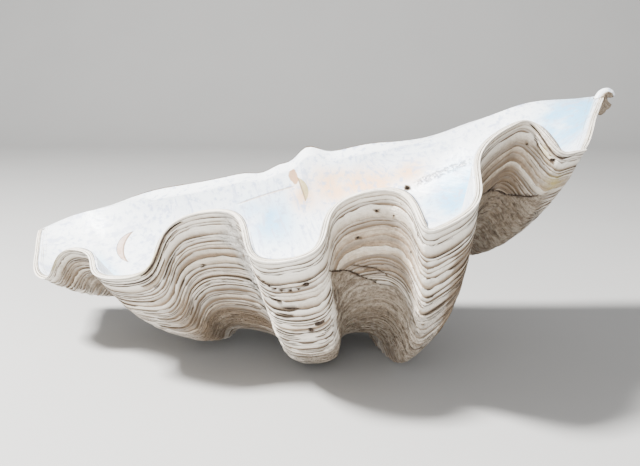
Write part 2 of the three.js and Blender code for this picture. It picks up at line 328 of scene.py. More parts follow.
# %% Depth of the outside below the smooth surface
WALL_SHARE = (1.3, 13.0)  # deepest relief, mm: at the edge, and more for each unit of growth behind it
LEDGES = [  # stations, t of the ledge at each, how deep the older shell lies, how fast it recovers, dirt
    ((6.4, 6.67, 6.83, 6.92, 7.05, 7.25, 7.6), (0.962, 0.932, 0.915, 0.899, 0.876, 0.884, 0.88),
     2.6, 0.06, 1.0),
    ((8.35, 8.9, 9.05, 9.3, 9.6, 9.9, 10.1), (0.97, 0.915, 0.886, 0.884, 0.913, 0.94, 0.95),
     2.2, 0.06, 1.0),
    ((2.3, 2.7, 3.1, 3.5), (0.925, 0.915, 0.91, 0.93), 1.6, 0.06, 0.5),
    ((4.5, 4.8, 5.1, 5.4), (0.9, 0.895, 0.9, 0.915), 1.3, 0.05, 0.0),
]
# Soft spots on the surface: station, t, and reach along each.
SCALY = [(4.15, 0.85, 0.8, 0.13), (5.75, 0.82, 1.1, 0.16), (7.75, 0.85, 0.7, 0.14), (2.1, 0.9, 0.5, 0.1),
         (6.42, 0.9, 0.28, 0.09), (5.35, 0.88, 0.3, 0.1), (7.95, 0.92, 0.25, 0.07)]
CALM = [(7.05, 0.94, 0.7, 0.07), (9.1, 0.95, 0.6, 0.055)]  # worn arches, where the steps are low
CRUST = (5.2, 0.925, 0.11, 0.1)
CRUST_LEAN = 1.0  # how many stations it moves along the edge for each unit of growth
STAND_OFF = 0.35  # the relief starts this far inside the smooth surface, mm


def spot(station, t, place):
    """1 at a place on the surface, falling to 0 at its reach along the edge and along the growth."""
    middle_station, middle_t, reach_station, reach_t = place
    return hill(station, middle_station, reach_station) * hill(t, middle_t, reach_t)


def marks(station, t, places):
    """Several soft spots together, at most 1."""
    return np.clip(sum(spot(station, t, place) for place in places), 0, 1)


def calm_at(station, t):
    """1 where the arches are worn, 0 elsewhere."""
    return np.clip(1.6 * sum(spot(station, t, place) for place in CALM), 0, 1)


def outside_depth(station, t, layer, sink):
    """How deep the relief lies below the smooth surface, and the masks that the finish needs with it."""
    edge_number = np.floor(layer)
    number = edge_number.astype(int)
    own = layer_step[np.minimum(number, len(layer_step) - 1)]
    next_step = layer_step[np.minimum(number + 1, len(layer_step) - 1)]
    scaly = marks(station, t, SCALY)
    strength = 0.8 + 0.95 * patches(station * 1.6, edge_number * 0.55, 1) + 1.3 * scaly
    strength = np.clip(strength + 0.35 * patches(station * 5, edge_number * 0.9, 11), 0.08, 2.3)
    chipped = eased((patches(station * 9, edge_number * 1.3, 2) - 0.4 + 0.45 * scaly) / 0.25)
    strength = np.maximum(strength, 0.85 * eased((t - 0.95) / 0.02))
    calm = calm_at(station, t)
    strength = strength * (1 - 0.72 * calm)
    chipped = chipped * (1 - calm)
    steps = sink * next_step * strength + (sink == 0) * own * (0.7 + 0.9 * scaly) * chipped
    dents = 0.35 + 0.35 * patches(station * 1.3 + 5, t * 17, 3) + 0.2 * patches(station * 6, t * 90, 4)
    grain = 0.13 * patches(station * 16, t * 230, 5) + scaly * 0.6 * patches(station * 11, t * 120, 6)
    grain = grain + scaly * 0.35 * patches(station * 23, t * 210, 12)
    grain = grain + calm * 0.28 * patches(station * 19, t * 190, 15)
    ledge = below_ledge = 0
    for stations, at, depth, recovery, dirt in LEDGES:
        edge_t = np.interp(station, stations, at) + 0.002 * patches(station * 9, 0, 7)
        ends = eased((station - stations[0]) / 0.12) * eased((stations[-1] - station) / 0.25)
        below = eased((edge_t - t) / 0.0016) * ends
        ledge = ledge + depth * below * eased(1 - (edge_t - t) / recovery)
        below_ledge = below_ledge + dirt * below * eased((4 * recovery - (edge_t - t)) / (2 * recovery))
    crust_at = station + 0.07 * patches(t * 60, station * 3, 14) + CRUST_LEAN * (t - CRUST[1])
    crust = np.clip(3 * spot(crust_at, t, CRUST), 0, 1)
    lumps = patches(station * 24, t * 210, 8) + 0.7 * patches(station * 43, t * 360, 9)
    crusty = crust * (lumps - 0.6)
    # pits: the low points among the crust's lumps; they carve nothing and only darken the finish, as painted
    # shade
    pits = crust * eased((-lumps - 0.25) / 0.35)
    eaten = 0.45 * patches(station * 12, t * 120, 10) + 0.25 * patches(station * 25, t * 230, 13)
    rough = below_ledge * eaten
    steps = steps * (1 - 0.7 * np.clip(below_ledge, 0, 1)) * (1 - 0.8 * crust)
    depth = STAND_OFF + steps + np.maximum(dents, 0) + grain + ledge + rough - crusty
    thinnest = WALL_SHARE[0] + WALL_SHARE[1] * (1 - t)
    depth = thinnest * np.tanh(np.maximum(depth, 0.05) / thinnest)
    return depth, strength, np.clip(below_ledge, 0, 1), crust, pits


# %% Points of the outside
station = np.broadcast_to(lines["station"], (len(rows), len(lines["station"])))
layer_grid = np.repeat(row_layer[:, None], station.shape[1], 1)
sink_grid = np.repeat(row_sink[:, None], station.shape[1], 1)
wander = 0.0019 * patches(station * 2.3, layer_grid * 0.4, 20)
wander = wander + 0.0006 * patches(station * 8, layer_grid * 0.9, 21)
own_thickness = thickness[np.minimum(layer_grid.astype(int), len(thickness) - 1)]
ragged = (sink_grid == 0) * (0.0005 + 0.12 * own_thickness) * patches(station * 21, layer_grid * 1.7, 22)
fade_in = eased((1 - row_t) / 0.008)[:, None]
outer_t = row_t[:, None] + (wander + ragged) * fade_in
depth, strength, below_ledge, crusted, crust_pit_shade = outside_depth(station, outer_t, layer_grid, sink_grid)
near_hinge = eased(np.minimum(station, station[0, -1] - station) / 0.6)
depth *= (0.25 + 0.75 * near_hinge) * eased(outer_t / 0.12) * (0.2 + 0.8 * fade_in)
outer_points = outside(outer_t, lines) - facing(outside, outer_t, lines) * depth[..., None]
print("depth of the relief, mm: mean", depth.mean().round(2), "most", depth.max().round(2))

# %% [markdown]
# ## The inside, the lip and the hinge
#
# The inside is smooth porcelain, laid down in one piece by the animal, so it needs few rows. The lip
# between the two surfaces shows the layers end-on, as fine steps. Behind, the hinge plate's border joins
# the inside's border to the outside's, with a few rounded rows of its own.

# %% Points of the inside
coarse_steps = [count // 2 for count in COLUMN_STEPS]
coarse_lines = {name: line[::2] for name, line in lines.items()}
inner_row_t = np.concatenate([1 - 0.3 * np.linspace(0, 1, 26)[1:], 0.7 * (1 - np.linspace(0, 1, 42)[1:])])
inner_station = np.broadcast_to(coarse_lines["station"], (len(inner_row_t), len(coarse_lines["station"])))
inner_t = np.repeat(inner_row_t[:, None], inner_station.shape[1], 1)

TOOTH, TOOTH_HEIGHT = [(7.45, 0.0, 0.55, 0.06), (7.25, 0.05, 0.55, 0.06), (7.0, 0.1, 0.55, 0.06)], 1.32
tooth = sum(spot(inner_station, inner_t, place) for place in TOOTH) * TOOTH_HEIGHT
ripple = 0.22 * patches(inner_station * 1.7, inner_t * 9, 30)
ripple = ripple + 0.1 * patches(inner_station * 5, inner_t * 34, 31)
muscle_mark = 0.5 * eased((0.74 + 0.02 * patches(inner_station * 2, 0, 32) - inner_t) / 0.012)
muscle_mark *= eased((inner_t - 0.3) / 0.3)
rise = (tooth + ripple - muscle_mark + 0.3) * eased((1 - inner_t) / 0.06)
rise *= eased(np.minimum(inner_station, LAST_STATION - inner_station) / 0.5)
rise *= eased(inner_t / 0.1) * 0.8 + 0.2
inner_points = inside(inner_t, coarse_lines) - facing(inside, inner_t, coarse_lines) * rise[..., None]
print("inside:", inner_points.shape[:2], " highest rise, mm:", rise.max().round(2))

# %% Points of the lip
LIP_SHARES = np.array([0.07, 0.2, 0.27, 0.34, 0.5, 0.57, 0.64, 0.82, 1.0])
LIP_SINK = np.array([0.0, 0.1, 1.0, 0.1, 0.0, 0.9, 0.05, 0.0, 0.05])  # grooves between the layers' ends
lip_points = []
for share, sink in zip(LIP_SHARES, LIP_SINK):
    grooved = sink * (0.55 + 0.75 * patches(lines["station"] * 2.1, share * 9, 40))
    chips = 0.25 * patches(lines["station"] * 9, share * 5, 41) * math.sin(math.pi * share)
    crown = 0.5 * math.sin(math.pi * share) - 0.25 * share
    line = outer_points[0] * (1 - share) + lines["lip"] * share
    line = line + np.column_stack([np.zeros((len(line), 2)), crown - np.maximum(grooved, 0) - chips])
    lip_points.append(line)
lip_points = np.array(lip_points)

# %% Points of the hinge's border
HINGE_ROWS = len(LIP_SHARES) - 1


def spread_evenly(path, shares):
    """Points of a path at shares of its length."""
    far = reach_along(path)
    return np.column_stack([np.interp(shares * far[-1], far, path[:, i]) for i in range(3)])


def shares_of(path):
    """Each point's share of the path's length."""
    return reach_along(path) / reach_along(path)[-1]


beak_point = np.array([[BEAK_U, 0, 0]])
outer_border = np.vstack([outer_points[:, -1], beak_point, outer_points[::-1, 0]])
inner_border = np.vstack([inner_points[:, -1], inner_points[-1, -2:0:-1], inner_points[::-1, 0]])
inner_border = np.vstack([lip_points[-1][-1:], inner_border, lip_points[-1][:1]])
border_shares = shares_of(inner_border)
outer_match = spread_evenly(outer_border, border_shares)
width = np.linalg.norm(inner_border - outer_match, axis=1)
hinge_points = []
for i in range(1, HINGE_ROWS + 1):
    share = i / (HINGE_ROWS + 1)
    row = inner_border * (1 - share) + outer_match * share
    swell = 0.12 * np.minimum(width, 12) * math.sin(math.pi * share)
    swell = swell * (1 + 0.5 * patches(row[:, 0] / 16, share * 3, 50))
    swell = swell + 0.35 * patches(row[:, 0] / 5, share * 6, 51) * (width > 3)
    hinge_points.append(row + np.column_stack([np.zeros(len(row)), -swell, 0.2 * swell]))
hinge_points = np.array(hinge_points)
print("hinge border:", hinge_points.shape[:2])

# %% [markdown]
# ## One closed mesh
#
# The blocks of points are joined edge to edge into a single closed skin, as a mesh that is to be cut by
# other meshes has to be. Towards the beak and on the inside every second column is enough. Each corner
# also carries what the finish needs to know: how far back in the growth it lies, where along the edge,
# how much painted shade lies in a gap, soft masks for the stains, and soft masks for painted shade,
# painted highlights and painted skylight.

# %% Join the blocks
blocks = {
    "fine": outer_points[:fine_rows], "coarse": outer_points[fine_rows:, ::2], "beak": beak_point[None],
    "lip": lip_points, "inner": inner_points, "hinge": hinge_points[:, 1:-1],
}
index, total = {}, 0
for name, block in blocks.items():
    count = block.shape[0] * block.shape[1]
    index[name] = (total + np.arange(count)).reshape(block.shape[:2])
    total += count
corners = np.concatenate([block.reshape(-1, 3) for block in blocks.values()])

faces = []


def join(a, b):
    """Faces between two lines of corners that run side by side; b may have half as many steps."""
    if len(a) == len(b):
        faces.extend(np.stack([a[:-1], a[1:], b[1:], b[:-1]], 1).tolist())
    elif len(a) == 2 * len(b) - 1:
        before, between, after = a[:-2:2], a[1:-1:2], a[2::2]
        for three in ([before, between, b[:-1]], [between, b[1:], b[:-1]], [between, after, b[1:]]):
            faces.extend(np.stack(three, 1).tolist())
    else:
        zip_together(a, b)


def zip_together(a, b):
    """Faces between two lines of any number of corners, matched by how far along they are."""
    share_a, share_b = shares_of(corners[a]), shares_of(corners[b])
    i = j = 0
    while i < len(a) - 1 or j < len(b) - 1:
        if j == len(b) - 1 or (i < len(a) - 1 and share_a[i + 1] <= share_b[j + 1]):
            faces.append([a[i], a[i + 1], b[j]])
            i += 1
        else:
            faces.append([a[i], b[j + 1], b[j]])
            j += 1


inward_rows = [index["fine"][0], *index["lip"], *index["inner"]]
for a, b in zip(inward_rows, inward_rows[1:]):
    join(a, b)
outward_rows = [*index["fine"], *index["coarse"]]
for a, b in zip(outward_rows, outward_rows[1:]):
    join(a[::-1], b[::-1])
beak = int(index["beak"][0, 0])
faces.extend([[int(a), beak, int(b)] for a, b in zip(index["coarse"][-1], index["coarse"][-1][1:])])

lip, inner = index["lip"], index["inner"]
hinge_rows = [
    np.concatenate([[lip[-1, -1]], inner[:, -1], inner[-1, -2:0:-1], inner[::-1, 0], [lip[-1, 0]]])
]
for i, row in enumerate(index["hinge"]):
    beside = lip[len(LIP_SHARES) - 2 - i]
    hinge_rows.append(np.concatenate([[beside[-1]], row, [beside[0]]]))
for b, a in zip(hinge_rows, hinge_rows[1:]):
    join(a, b)
outer_end = np.concatenate([index["fine"][:, -1], index["coarse"][:, -1]])
outer_start = np.concatenate([index["fine"][:, 0], index["coarse"][:, 0]])
join(np.concatenate([outer_end, [beak], outer_start[::-1]]), hinge_rows[-1])
print(len(corners), "corners and", len(faces), "faces")

# %% [markdown]
# ## What each corner knows
#
# Painting by hand would tie the colours to one unwrapping of the mesh. Here each mark is a soft spot at a
# place on the growth, so it stays with the shell's own form, and the finish decides later what colour it
# gets. A fact that isn't named for a part of the surface is 0 there.

# %% Masks on the corners, each a soft spot: station, t, and reach along each
# Painted blue skylight on the inside, mostly towards the long end and deep in the bowl.
SKY_LIGHT_SPOTS = [(12.2, 0.94, 1.0, 0.16), (12.45, 0.93, 0.8, 0.12), (11.9, 0.95, 0.6, 0.1), (12.5, 0.95, 0.6, 0.1),
        (10.7, 0.665, 1.3, 0.05), (10.9, 0.6, 1.5, 0.1), (11.3, 0.69, 0.6, 0.06), (9.9, 0.65, 0.7, 0.04),
        (5.6, 0.19, 1.4, 0.17), (1.8, 0.78, 0.9, 0.07), (4.2, 0.97, 0.5, 0.04), (8.0, 0.9, 0.9, 0.12)]
APRICOT = [(9.9, 0.2, 2.1, 0.18), (8.5, 0.13, 1.5, 0.14), (11.6, 0.4, 0.8, 0.13), (7.1, 0.12, 0.8, 0.1),
           (10.6, 0.3, 1.3, 0.12)]
RUST = [(6.92, 0.02, 0.28, 0.04), (7.0, 0.045, 0.2, 0.03)]
OLIVE_LIP = [(4.33, 1.0, 0.35, 0.014), (2.5, 1.0, 0.3, 0.012)]
OLIVE_RIB = [(9.95, 0.955, 0.3, 0.022), (9.6, 0.985, 0.2, 0.012)]
# Painted shade: darker spots in the arches, in the valleys and on the low parts of the ribs.
SHADE_SPOTS = [(2.5, 0.955, 0.6, 0.06), (8.85, 0.925, 0.75, 0.085), (9.3, 0.87, 0.8, 0.1),
         (7.05, 0.82, 0.5, 0.07), (5.0, 0.8, 0.7, 0.07), (3.0, 0.86, 0.6, 0.07), (4.4, 0.81, 0.6, 0.09),
         (4.3, 0.885, 0.4, 0.075)]
CHALKY = [(5.75, 0.905, 0.6, 0.075), (6.3, 0.95, 0.3, 0.05), (5.0, 0.985, 0.5, 0.04)]
WEATHERED = [(7.65, 0.81, 0.8, 0.14), (6.2, 0.8, 0.5, 0.07), (4.6, 0.79, 0.7, 0.06)]
SHADED_FLANK = (8.06, 8.8, 0.6, 0.968)  # the far flank of the right rib: from, to, from, to


def region(station, t, place):
    """1 between two stations and two values of t, with firm edges."""
    s_from, s_to, t_from, t_to = place
    along_edge = eased((station - s_from) / 0.04) * eased((s_to - station) / 0.3)
    return along_edge * eased((t - t_from) / 0.05) * eased((t_to - t) / 0.008)


# %% What the outside, the lip and the inside know
along = reach_along(lines["today"])
next_step = layer_step[np.minimum(row_layer.astype(int) + 1, len(layer_step) - 1)]
gap_patches = 0.55 + 0.9 * patches(station * 2.6, layer_grid * 0.8, 24)
step_share = np.minimum(next_step / 0.9, 1)  # a gap shows under a free edge that stands high enough
# Painted shade: the foot row under each free edge is darkened where the step above it stands high enough to
# shade it.
gap = np.where(row_sink == 1.0, step_share, 0)[:, None] * np.clip(strength * gap_patches, 0, 1)
# Painted highlight: each free edge and the row just under it are whitened like a crest catching the light.
crest_highlight_share = np.select([row_sink == 0.0, row_sink == 0.1], [1.0, 0.75])[:, None]
# Painted shade: the slope down into each layer's trough is tinted tan.
trough_shade_share = 0.35 + 0.6 * strength + 0.3 * patches(station * 3, layer_grid, 25)
on_tongue = 0.5 + 0.4 * np.cos(math.pi * station)  # the tongues are the even stations
GROWTH_SPAN, INSIDE_SPAN, LIP_SPAN = 560, 200, 8  # growth across the outside, the inside and the lip, mm

outer_facts = {
    "growth": (1 - outer_t) * GROWTH_SPAN,
    "along": along,
    # gap: painted shade under the free edges and in the crust's hollows
    "gap": np.maximum(gap, 0.6 * crust_pit_shade),
    "crest": crest_highlight_share * np.clip(0.25 + 0.6 * strength, 0, 1),
    "trough": row_sink[:, None] * np.clip(trough_shade_share, 0, 1),
    "tone": layer_tone[np.minimum(row_layer.astype(int), len(layer_tone) - 1)][:, None],
    "older": 1 - outer_t,
    "crust": crusted,
    "rough": np.maximum(below_ledge, 0.9 * marks(station, outer_t, WEATHERED)),
    "chalk": np.clip(marks(station, outer_t, CHALKY) + on_tongue * eased((outer_t - 0.97) / 0.025), 0, 1),
    "olive": marks(station, outer_t, OLIVE_RIB + OLIVE_LIP),
    # painted shade: the spots above, the right rib's far flank, the arches near the edge and the worn arches,
    # darkened and tinted brown
    "umber": np.maximum.reduce([
        marks(station, outer_t, SHADE_SPOTS), region(station, outer_t, SHADED_FLANK),
        0.2 * (0.9 - on_tongue) / 0.8 * eased((outer_t - 0.88) / 0.06),
        0.5 * calm_at(station, outer_t),
    ]),
}
lip_share = np.repeat(LIP_SHARES[:, None], len(along), 1)
lip_station = np.broadcast_to(lines["station"], lip_share.shape)
lip_facts = {
    "growth": -LIP_SPAN * lip_share, "along": along, "tone": 0.8, "chalk": 1,
    # gap on the lip: painted shade in the grooves between the layers' ends
    "gap": (LIP_SINK > 0.5)[:, None] * np.clip(0.8 + patches(lip_station * 2.3, lip_share * 9, 42), 0, 1),
    "porcelain": eased((lip_share - 0.5) / 0.5),
    "olive": marks(lip_station, np.ones_like(lip_share), OLIVE_LIP) * (1 - lip_share),
}
inner_facts = {
    "growth": -LIP_SPAN - (1 - inner_t) * INSIDE_SPAN, "along": along[::2], "tone": 0.8, "porcelain": 1,
    "blue": marks(inner_station, inner_t, SKY_LIGHT_SPOTS),
    "apricot": marks(inner_station, inner_t, APRICOT),
    "rust": marks(inner_station, inner_t, RUST),
}
hinge_facts = {"growth": -30.0, "tone": 0.7, "porcelain": 0.75}

# %% One list for each fact, in the order of the corners
facts = {}
for name in [*outer_facts, "porcelain", "blue", "apricot", "rust"]:
    value, on_lip, on_inside = (
        np.broadcast_to(known.get(name, 0.0), block.shape)
        for known, block in ((outer_facts, outer_t), (lip_facts, lip_share), (inner_facts, inner_t))
    )
    facts[name] = np.concatenate([
        value[:fine_rows].ravel(), value[fine_rows:, ::2].ravel(), [value[-1, 0]],
        on_lip.ravel(), on_inside.ravel(), np.full(index["hinge"].size, hinge_facts.get(name, 0.0)),
    ])
print("facts:", ", ".join(facts))


# %% Make the mesh
def mesh_piece(name, points, faces, facts=None):
    mesh = bpy.data.meshes.new(name)
    mesh.from_pydata(points.tolist(), [], faces)
    for key, values in (facts or {}).items():
        mesh.attributes.new(key, "FLOAT", "POINT").data.foreach_set("value", values.astype(np.float32))
    piece = bpy.data.objects.new(name, mesh)
    bpy.context.scene.collection.objects.link(piece)
    return piece


valve = mesh_piece("clam_valve", stand(corners), faces, facts)
print("clam_valve:", len(valve.data.vertices), "corners,", len(valve.data.polygons), "faces")

# %% [markdown]
# ## The ear, and what worms and frost took away
#
# The ear at the long tip is a bent finger of shell. It is a mesh of its own that a boolean grows onto
# the valve. The borings, splits and slots go the other way: small closed cutters, placed by station and
# growth, are taken out of the shell. Real holes have real shadows from every side, which a dark spot in
# the finish would not. The manifold solver does this in a moment on a closed mesh. It leaves a spare
# corner in the middle of an edge here and there, and those go at the end.

# %% Places on the two surfaces
SKIN, DARK_BORE = 0, 1  # the finishes' slots


def lines_at(stations):
    """The edge's lines at any stations."""
    return {
        name: np.column_stack([np.interp(stations, lines["station"], line[:, i]) for i in range(3)])
        for name, line in lines.items() if name != "station"
    }


def places(surface, stations, t):
    """Points at stations and t, the direction out of the shell there, and the direction of growth."""
    stations, t = np.atleast_1d(stations).astype(float), np.atleast_1d(t).astype(float)
    here, beside = lines_at(stations), lines_at(stations + 0.01)
    point = surface(t, here)
    across = surface(t, beside) - point
    growth = surface(t + NUDGE, here) - surface(t - NUDGE, here)
    out = np.cross(across, -growth) * (1 if surface is outside else -1)
    out /= np.linalg.norm(out, axis=1, keepdims=True)
    return point, out, growth / np.linalg.norm(growth, axis=1, keepdims=True)


def tube_faces(rings, sides, start=0):
    """The faces of a closed tube of rings of corners, with a flat face at each end."""
    around = [(k, (k + 1) % sides) for k in range(sides)]
    base = [start + i * sides for i in range(rings)]
    walls = [[low + a, low + b, low + b + sides, low + a + sides] for low in base[:-1] for a, b in around]
    return walls + [[start + k for k in range(sides)][::-1], [base[-1] + k for k in range(sides)]]


def make_outward(piece):
    """Turn the faces of closed parts so that they all look outwards."""
    work = bmesh.new()
    work.from_mesh(piece.data)
    bmesh.ops.recalc_face_normals(work, faces=work.faces)
    work.to_mesh(piece.data)
    work.free()


# %% Cutters
class Cutters:
    """Closed cutter meshes, gathered until they are all taken out of the shell at once."""

    def __init__(self):
        self.points, self.faces = [], []

    def tube(self, rings):
        self.faces += tube_faces(len(rings), len(rings[0]), len(self.points))
        self.points += [point for ring in rings for point in ring]

    def bore(self, surface, station, t, radius, depth, lean=(0.0, 0.0), sides=9):
        """A hole that a worm made: nearly round, and it leans and narrows as it goes in."""
        point, out, growth = (x[0] for x in places(surface, station, t))
        sideways = np.cross(out, growth)
        turns = 2 * math.pi * np.arange(sides) / sides
        unround = 1 + 0.16 * np.sin(turns * 2 + station * 40) + 0.1 * np.sin(turns * 3 + t * 900)
        rings = []
        for share in (-1.2 / depth, 0.0, 0.35, 0.75, 1.0):
            inwards = max(share, 0)
            middle = point - out * depth * share + (growth * lean[0] + sideways * lean[1]) * inwards * depth
            girth = radius * (1.15 if share < 0 else 1.0 - 0.45 * inwards**2) * unround
            rings.append([
                middle + g * (math.cos(a) * growth + math.sin(a) * sideways) for g, a in zip(girth, turns)
            ])
        self.tube(rings)

    def split(self, surface, stations, t, width, depth, floor=0.4, lift=1.2, count=14):
        """A thin gap between layers that runs from station to station and closes at both ends.

        floor is the width of its bottom as a share of its mouth, and lift is how far it starts outside.
        """
        share = np.linspace(0, 1, count)
        known = np.linspace(0, 1, len(stations))
        point, out, growth = places(surface, np.interp(share, known, stations), np.interp(share, known, t))
        half = width / 2 * np.sin(np.pi * (0.04 + 0.92 * share)) ** 0.6
        half = half * (1 + 0.18 * patches(share * 5, stations[0] * 9, 60))
        rings = []
        for p, o, g, h in zip(point, out, growth, half):
            above, sunk = p + o * lift, p - o * depth
            rings.append([above - g * h, above + g * h, sunk + g * h * floor, sunk - g * h * floor])
        self.tube(rings)

    def piece(self, name):
        made = mesh_piece(name, stand(np.array(self.points)), self.faces)
        made.data.polygons.foreach_set("material_index", [DARK_BORE] * len(self.faces))
        make_outward(made)
        return made


# %% Where the holes, splits and slots are
cutters = Cutters()
BORES = [  # station, t, radius, depth
    (6.08, 0.971, 1.6, 4.0), (6.12, 0.912, 2.7, 6.0), (6.05, 0.905, 1.5, 5.0), (7.03, 0.979, 0.8, 2.2),
    (7.6, 0.986, 0.95, 2.4), (6.92, 0.955, 0.8, 2.5), (9.74, 0.983, 1.6, 2.6), (9.25, 0.971, 0.6, 1.8),
    (5.2, 0.9, 0.9, 3.5), (5.76, 0.978, 0.8, 2.4), (5.81, 0.975, 0.95, 2.6), (5.855, 0.9725, 0.8, 2.6),
    (5.9, 0.970, 1.0, 2.6), (5.945, 0.968, 0.8, 2.4), (5.99, 0.9675, 0.9, 2.4), (6.03, 0.968, 0.7, 2.2),
    (7.16, 0.975, 0.6, 1.8), (7.4, 0.952, 0.6, 2.0), (5.3, 0.955, 0.8, 2.6), (4.86, 0.93, 0.7, 2.6),
    (6.3, 0.93, 0.8, 3.0), (7.75, 0.9, 0.8, 3.0), (3.3, 0.95, 0.7, 2.0),
]
for number, (at, t, radius, deep) in enumerate(BORES):
    lean = (0.3 * math.sin(number * 2.1), 0.3 * math.cos(number * 1.7))
    cutters.bore(outside, at, t, radius, deep, lean)
cutters.bore(inside, 11.02, 0.435, 1.7, 2.8)
SPLITS = [  # stations, t, width, depth
    ((4.15, 4.35, 4.6, 4.84), (0.996, 0.9965, 0.997, 0.996), 2.6, 3.4),
    ((4.0, 4.3, 4.6, 4.78), (0.989, 0.988, 0.989, 0.99), 1.5, 2.8),
    ((4.1, 4.3, 4.52), (0.982, 0.981, 0.981), 0.9, 2.4),
    ((9.2, 9.43, 9.68, 9.88, 10.07), (0.9965, 0.994, 0.9905, 0.992, 0.996), 1.9, 2.6),
    ((9.35, 9.55, 9.75), (0.984, 0.98, 0.981), 0.9, 2.0),
    ((6.4, 6.67, 6.83, 6.92, 7.0, 7.08, 7.16, 7.26),
     (0.9625, 0.9325, 0.9155, 0.8995, 0.8845, 0.8765, 0.8795, 0.8845), 1.7, 3.2),
    ((8.75, 8.93, 9.05, 9.3, 9.6, 9.78), (0.932, 0.9125, 0.886, 0.885, 0.9135, 0.93), 2.2, 3.0),
    ((8.55, 8.7, 8.85), (0.953, 0.938, 0.922), 1.4, 3.0),
    ((8.85, 9.05, 9.2), (0.85, 0.838, 0.84), 1.3, 3.0),
    ((5.28, 5.4, 5.5), (0.988, 0.987, 0.988), 1.1, 2.2),
    ((6.85, 7.0, 7.12), (0.923, 0.909, 0.896), 0.9, 2.6),
    ((8.75, 8.95, 9.12), (0.868, 0.862, 0.858), 1.2, 3.0),
    ((2.75, 2.95, 3.1), (0.97, 0.968, 0.969), 0.8, 1.6),
    ((4.2, 4.4, 4.6, 4.75), (0.972, 0.97, 0.969, 0.97), 0.8, 2.0),
]
for stations, t, width, deep in SPLITS:
    cutters.split(outside, stations, t, width, deep)
SLOTS = [  # short and square, where a flake of shell has come away: stations, t, width, depth
    ((5.82, 5.87, 5.92), (0.956, 0.9545, 0.953), 2.9, 4.2),
    ((5.92, 5.965, 6.01), (0.943, 0.942, 0.9415), 2.5, 4.4),
    ((5.85, 5.91, 5.96), (0.934, 0.9325, 0.931), 1.5, 4.2),
]
for stations, t, width, deep in SLOTS:
    cutters.split(outside, stations, t, width, deep, floor=0.8)
print(len(BORES), "bores,", len(SPLITS), "splits and", len(SLOTS), "slots outside, and one bore inside")


# %% The ear
def ear_piece(sides=20):
    """Rings of corners along a bent path, with ragged old shell hanging under it."""
    path, _ = edge_line([at for at, _ in EAR], [0.33] * len(EAR), 1, [5] * (len(EAR) - 1))
    rings = len(path)
    radii = np.interp(np.linspace(0, 5, rings), np.arange(6), [radius for _, radius in EAR])
    radii[-2:] *= (0.8, 0.45)
    forwards = np.array((0.0, 1.0, 0.0))
    up = np.cross(np.gradient(path, axis=0), forwards)
    up /= np.linalg.norm(up, axis=1, keepdims=True)
    ring, side = np.mgrid[:rings, :sides]
    turn = 2 * math.pi * side / sides
    above = np.sin(turn)  # 1 on top of the ear, -1 below it
    ragged = 0.12 * (0.5 + 0.5 * patches(ring * 0.6, side * 0.55, 70)) + 0.07 * (above < 0) * (ring % 4 == 0)
    beard = 1 + 2.4 * np.maximum(-above, 0) * np.minimum(2 * (1 - ring / rings), 1)
    girth = (radii[:, None] * (1 - ragged))[..., None]
    around = np.cos(turn)[..., None] * forwards + (beard * above)[..., None] * up[:, None]
    known = {
        # painted shade under the ear
        "porcelain": eased((above + 0.25) / 0.7), "umber": eased(-above / 0.4), "rough": eased(-above / 0.5),
        "growth": ring * 0.9, "tone": 0.5,
    }
    ear_facts = {name: np.broadcast_to(known.get(name, 0.0), turn.shape).ravel() for name in facts}
    points = stand((path[:, None] + girth * around).reshape(-1, 3))
    made = mesh_piece("ear", points, tube_faces(rings, sides), ear_facts)
    make_outward(made)
    return made


def carve(piece, tool, operation):
    """Join a tool to a closed piece or take it away from it, and forget the tool."""
    change = piece.modifiers.new(operation.lower(), "BOOLEAN")
    change.operation, change.solver, change.object = operation, "MANIFOLD", tool
    bpy.context.view_layer.objects.active = piece
    bpy.ops.object.modifier_apply(modifier=change.name)
    bpy.data.objects.remove(tool)


def drop_crumbs(piece, fewest=200):
    """Drop crumbs that hang on nothing, and corners in the middle of an edge that two faces share."""
    work = bmesh.new()
    work.from_mesh(piece.data)
    unseen, crumbs = set(work.verts), []
    while unseen:
        island = {unseen.pop()}
        front = list(island)
        while front:
            for edge in front.pop().link_edges:
                for corner in edge.verts:
                    if corner in unseen:
                        unseen.remove(corner)
                        island.add(corner)
                        front.append(corner)
        if len(island) < fewest:
            crumbs += island
    bmesh.ops.delete(work, geom=crumbs, context="VERTS")
    idle = [corner for corner in work.verts if len(corner.link_edges) == 2]
    bmesh.ops.dissolve_verts(work, verts=idle)
    odd = sum(len(edge.link_faces) != 2 for edge in work.edges)
    work.to_mesh(piece.data)
    work.free()
    print(len(crumbs), "corners of crumbs and", len(idle), "idle ones dropped;", odd, "edges lack two faces")


# %% Grow the ear on and take the borings out
for slot_name in ("shell", "bored shell"):
    valve.data.materials.append(bpy.data.materials.new(slot_name))
carve(valve, ear_piece(), "UNION")
print("after the ear:", len(valve.data.polygons), "faces")
borings = cutters.piece("borings")
for material in valve.data.materials:
    borings.data.materials.append(material)
carve(valve, borings, "DIFFERENCE")
drop_crumbs(valve)
triangles = sum(len(face.vertices) - 2 for face in valve.data.polygons)
print("after the borings:", len(valve.data.polygons), "faces,", triangles, "triangles")

# %% [markdown]
# ## Shader maths as expressions
#
# A finish is a small calculation done at every point of the surface. Written as Python expressions it
# reads like one: a Flow stands for a node's output, and adding or multiplying Flows adds the nodes.

